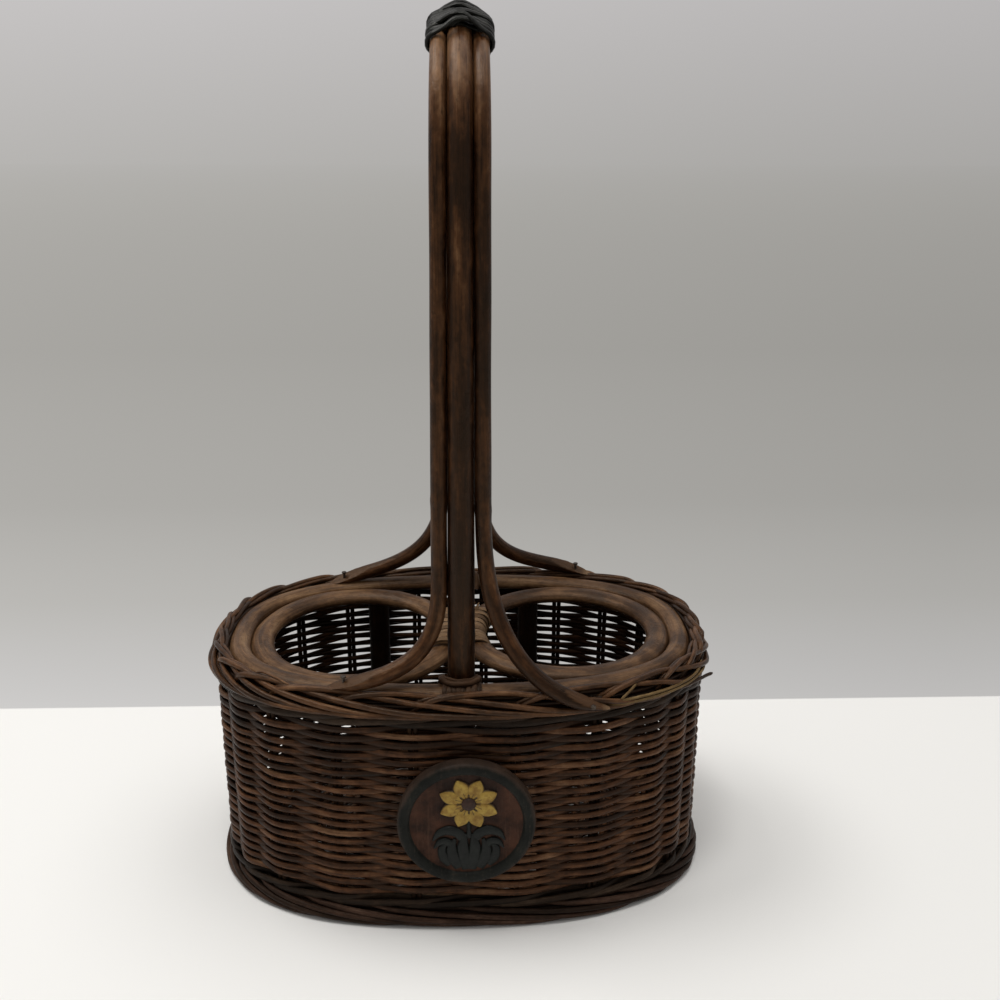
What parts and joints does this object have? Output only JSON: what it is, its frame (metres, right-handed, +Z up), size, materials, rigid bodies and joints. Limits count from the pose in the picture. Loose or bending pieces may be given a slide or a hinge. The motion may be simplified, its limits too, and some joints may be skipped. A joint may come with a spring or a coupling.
{
  "type": "wine bottle basket",
  "caption": "Oval woven rattan basket that carries wine bottles upright in rings under its rim, with a tall arched handle and a flower medallion on the front.",
  "frame": {"origin": "under the middle of the overall box, on the surface that the basket stands on", "axes": "+Z up, +X to the right along the long side seen from the front, the medallion faces -Y"},
  "size_m": [0.2724, 0.1798, 0.4486],
  "materials": {
    "rattan": "dark brown satin varnish",
    "wicker": "dark brown satin varnish on woven willow",
    "dyed_wicker": "black-green stain",
    "grip_strands": "black-green stain, satin",
    "binding_cane": "tan cane, satin",
    "nail_steel": "plain wire nail",
    "plaque_wood": "painted wood, matt",
    "petal_paint": "muted yellow paint on wood, matt",
    "flower_centre_paint": "dark brown paint on wood, matt",
    "leaf_paint": "grey-green paint on wood, matt"
  },
  "bodies": {
    "root": {"base_hoop": "rattan", "base_mat": "wicker", "base_stick_1": "rattan", "base_stick_2": "rattan", "base_stick_3": "rattan", "foot_border": "wicker", "lower_dyed_band": "dyed_wicker", "wall_weave": "wicker", "upper_dyed_band": "dyed_wicker", "top_border": "wicker", "stake_01": "wicker", "stake_02": "wicker", "stake_03": "wicker", "stake_04": "wicker", "stake_05": "wicker", "stake_06": "wicker", "stake_07": "wicker", "stake_08": "wicker", "stake_09": "wicker", "stake_10": "wicker", "stake_11": "wicker", "stake_12": "wicker", "stake_13": "wicker", "stake_14": "wicker", "stake_15": "wicker", "stake_16": "wicker", "stake_17": "wicker", "stake_18": "wicker", "stake_19": "wicker", "stake_20": "wicker", "stake_21": "wicker", "stake_22": "wicker", "stake_23": "wicker", "stake_24": "wicker", "stake_25": "wicker", "rim_hoop": "rattan", "bottle_ring_left": "rattan", "bottle_ring_right": "rattan", "ring_binding": "binding_cane", "post_back_left": "rattan", "post_back_right": "rattan", "post_front_left": "rattan", "post_front_right": "rattan", "handle_pole": "rattan", "handle_side_rod_left": "rattan", "handle_side_rod_right": "rattan", "grip_wrap": "grip_strands", "collar_front": "binding_cane", "collar_back": "binding_cane", "lashing_front": "binding_cane", "lashing_back": "binding_cane", "nail_front_left": "nail_steel", "nail_front_right": "nail_steel", "nail_back_left": "nail_steel", "nail_back_right": "nail_steel", "medallion_disc": "plaque_wood", "medallion_petals": "petal_paint", "medallion_flower_centre": "flower_centre_paint", "medallion_leaves": "leaf_paint"}
  },
  "joints": []
}
